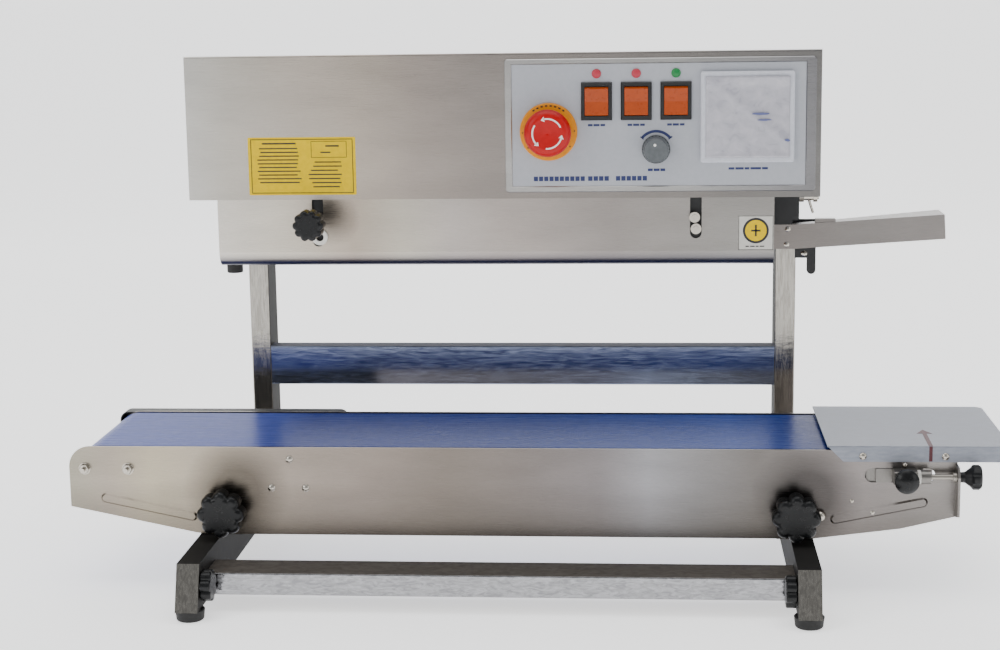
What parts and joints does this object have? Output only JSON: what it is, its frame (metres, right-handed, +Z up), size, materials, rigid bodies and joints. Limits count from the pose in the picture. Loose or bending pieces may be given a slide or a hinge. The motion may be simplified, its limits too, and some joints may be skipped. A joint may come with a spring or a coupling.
{
  "type": "continuous band sealer",
  "caption": "Table-top continuous band sealer: box head with control panel on two posts, vertical bag path between sealing bands, and a height-adjustable belt conveyor with an infeed plate.",
  "frame": {"origin": "on the floor, at the middle of the footprint box", "axes": "+X along the conveyor towards the infeed plate, +Y towards the back, +Z up"},
  "size_m": [0.841, 0.394, 0.4809],
  "materials": {
    "polished_stainless": "mirror-polished stainless steel tube",
    "brushed_stainless": "brushed stainless steel sheet",
    "galvanised_sheet": "smooth zinc-coated sheet",
    "blue_belt": "glossy blue PVC conveyor belt",
    "black_plastic": "moulded black phenolic plastic",
    "orange_plastic": "translucent orange rocker",
    "red_plastic": "red moulded mushroom head",
    "yellow_plastic": "yellow moulded collar",
    "grey_plastic": "grey moulded knob",
    "panel_print": "printed polycarbonate overlay",
    "controller_plastic": "white moulded bezel",
    "lamp_lens": "tinted lamp lens",
    "nickel": "nickel-plated steel",
    "turned_steel": "turned steel",
    "aluminium": "machined aluminium",
    "bronze": "sintered bronze",
    "sealing_band": "PTFE-coated glass cloth",
    "rubber": "black rubber",
    "black_steel": "black powder coat",
    "motor_enamel": "dark grey enamel"
  },
  "bodies": {
    "machine": {"left_side_frame": "polished_stainless", "right_side_frame": "polished_stainless", "front_cross_bar": "polished_stainless", "rear_cross_bar": "polished_stainless", "rubber_feet": "rubber", "conveyor_saddles": "brushed_stainless", "head_base_plate": "galvanised_sheet", "head_cover": "brushed_stainless", "rear_cover": "brushed_stainless", "panel_frame": "polished_stainless", "control_panel": "panel_print", "switch_housings": "black_plastic", "indicator_lamps": "lamp_lens", "estop_collar": "yellow_plastic", "temperature_controller": "controller_plastic", "drive_gearmotor": "motor_enamel", "shaft_bearings": "bronze", "front_band": "sealing_band", "rear_band": "sealing_band", "heating_blocks": "bronze", "cooling_blocks": "aluminium", "power_inlet": "black_plastic", "bag_guide": "brushed_stainless", "guide_bracket": "black_steel", "guide_pin": "nickel", "head_fasteners": "nickel"},
    "belt_guard": {"belt_guard": "brushed_stainless"},
    "guard_knob": {"guard_knob": "black_plastic"},
    "front_drive": {"front_drive_wheel": "aluminium", "front_gear_spindle": "turned_steel"},
    "rear_drive": {"rear_drive_wheel": "aluminium", "rear_gear_spindle": "turned_steel"},
    "front_idler": {"front_idler_wheel": "aluminium"},
    "rear_idler": {"rear_idler_wheel": "aluminium"},
    "pinion": {"motor_pinion": "turned_steel"},
    "estop": {"estop_button": "red_plastic"},
    "power_switch": {"power_rocker": "orange_plastic"},
    "heater_switch": {"heater_rocker": "orange_plastic"},
    "conveyor_switch": {"conveyor_rocker": "orange_plastic"},
    "speed_control": {"speed_knob": "grey_plastic"},
    "left_leg_clamp": {"left_leg_knob": "black_plastic"},
    "right_leg_clamp": {"right_leg_knob": "black_plastic"},
    "conveyor": {"front_side_plate": "brushed_stainless", "rear_side_plate": "brushed_stainless", "slider_bed": "galvanised_sheet", "conveyor_belt": "blue_belt", "conveyor_gearmotor": "motor_enamel", "infeed_plate": "galvanised_sheet", "drive_cover": "black_steel", "conveyor_fasteners": "nickel", "roller_bearings": "black_plastic", "pulley_belt": "rubber"},
    "drive_drum": {"drive_roller": "turned_steel"},
    "driven_drum": {"driven_roller": "turned_steel"},
    "motor_wheel": {"motor_pulley": "aluminium"},
    "tension_slide": {"tension_sliders": "nickel"},
    "tension_handle": {"tension_screw": "black_plastic"},
    "lock_handle": {"lock_knob": "black_plastic"},
    "left_clamp": {"left_clamp_knob": "black_plastic"},
    "right_clamp": {"right_clamp_knob": "black_plastic"}
  },
  "joints": [
    {"name": "conveyor_height", "type": "slide", "parent": "machine", "child": "conveyor", "axis": [0, 0, 1], "range_m": [0, 0.04]},
    {"name": "belt_tension", "type": "slide", "parent": "conveyor", "child": "tension_slide", "axis": [1, 0, 0], "range_m": [-0.0045, 0]},
    {"name": "drive_drum_turn", "type": "hinge", "parent": "conveyor", "child": "drive_drum", "pos_m": [-0.393, 0, 0.1115], "axis": [0, -1, 0], "continuous": true},
    {"name": "driven_drum_turn", "type": "hinge", "parent": "tension_slide", "child": "driven_drum", "pos_m": [0.3105, 0, 0.1115], "axis": [0, -1, 0], "continuous": true},
    {"name": "motor_wheel_turn", "type": "hinge", "parent": "conveyor", "child": "motor_wheel", "pos_m": [-0.219, 0, 0.1115], "axis": [0, -1, 0], "continuous": true},
    {"name": "tension_screw_turn", "type": "hinge", "parent": "conveyor", "child": "tension_handle", "pos_m": [0.38, -0.106, 0.111], "axis": [1, 0, 0], "range_deg": [-2026, 0]},
    {"name": "lock_knob_turn", "type": "hinge", "parent": "tension_slide", "child": "lock_handle", "pos_m": [0.328, -0.115, 0.11], "axis": [0, -1, 0], "range_deg": [0, 540]},
    {"name": "left_clamp_turn", "type": "hinge", "parent": "conveyor", "child": "left_clamp", "pos_m": [-0.2775, -0.1, 0.075], "axis": [0, -1, 0], "range_deg": [0, 720]},
    {"name": "right_clamp_turn", "type": "hinge", "parent": "conveyor", "child": "right_clamp", "pos_m": [0.234, -0.1, 0.075], "axis": [0, -1, 0], "range_deg": [0, 720]},
    {"name": "guard_drop", "type": "slide", "parent": "machine", "child": "belt_guard", "axis": [0, 0, -1], "range_m": [0, 0.045]},
    {"name": "guard_knob_turn", "type": "hinge", "parent": "machine", "child": "guard_knob", "pos_m": [-0.186, -0.1, 0.3375], "axis": [0, -1, 0], "range_deg": [0, 540]},
    {"name": "rear_drive_turn", "type": "hinge", "parent": "machine", "child": "rear_drive", "pos_m": [-0.22, 0.0065, 0.309], "axis": [0, 0, -1], "continuous": true},
    {"name": "front_drive_turn", "type": "hinge", "parent": "machine", "child": "front_drive", "pos_m": [-0.22, -0.0505, 0.309], "axis": [0, 0, -1], "continuous": true},
    {"name": "front_idler_turn", "type": "hinge", "parent": "machine", "child": "front_idler", "pos_m": [0.17656, -0.0505, 0.309], "axis": [0, 0, -1], "continuous": true},
    {"name": "rear_idler_turn", "type": "hinge", "parent": "machine", "child": "rear_idler", "pos_m": [0.17656, 0.0065, 0.309], "axis": [0, 0, -1], "continuous": true},
    {"name": "pinion_turn", "type": "hinge", "parent": "machine", "child": "pinion", "pos_m": [-0.22, 0.05, 0.371], "axis": [0, 0, -1], "continuous": true},
    {"name": "estop_push", "type": "slide", "parent": "machine", "child": "estop", "axis": [0, 1, 0], "range_m": [0, 0.004], "stiffness_N_per_m": 1500},
    {"name": "power_rocker_tilt", "type": "hinge", "parent": "machine", "child": "power_switch", "pos_m": [0.0606, -0.0957, 0.439], "axis": [1, 0, 0], "range_deg": [-14, 0]},
    {"name": "heater_rocker_tilt", "type": "hinge", "parent": "machine", "child": "heater_switch", "pos_m": [0.0946, -0.0957, 0.439], "axis": [1, 0, 0], "range_deg": [-14, 0]},
    {"name": "conveyor_rocker_tilt", "type": "hinge", "parent": "machine", "child": "conveyor_switch", "pos_m": [0.1285, -0.0957, 0.439], "axis": [1, 0, 0], "range_deg": [-14, 0]},
    {"name": "speed_knob_turn", "type": "hinge", "parent": "machine", "child": "speed_control", "pos_m": [0.1115, -0.1, 0.3976], "axis": [0, -1, 0], "range_deg": [-135, 135]},
    {"name": "left_leg_knob_turn", "type": "hinge", "parent": "machine", "child": "left_leg_clamp", "pos_m": [-0.28, -0.177, 0.029], "axis": [1, 0, 0], "range_deg": [0, 540]},
    {"name": "right_leg_knob_turn", "type": "hinge", "parent": "machine", "child": "right_leg_clamp", "pos_m": [0.229, -0.177, 0.029], "axis": [1, 0, 0], "range_deg": [0, 540]}
  ],
  "couplings": [
    {"joint": "driven_drum_turn", "follows": "drive_drum_turn", "ratio": 1},
    {"joint": "motor_wheel_turn", "follows": "drive_drum_turn", "ratio": 1},
    {"joint": "front_drive_turn", "follows": "rear_drive_turn", "ratio": -1},
    {"joint": "front_idler_turn", "follows": "rear_drive_turn", "ratio": -1},
    {"joint": "rear_idler_turn", "follows": "rear_drive_turn", "ratio": 1},
    {"joint": "pinion_turn", "follows": "rear_drive_turn", "ratio": -1.9},
    {"joint": "tension_screw_turn", "follows": "belt_tension", "rad_per_m": 7854}
  ]
}
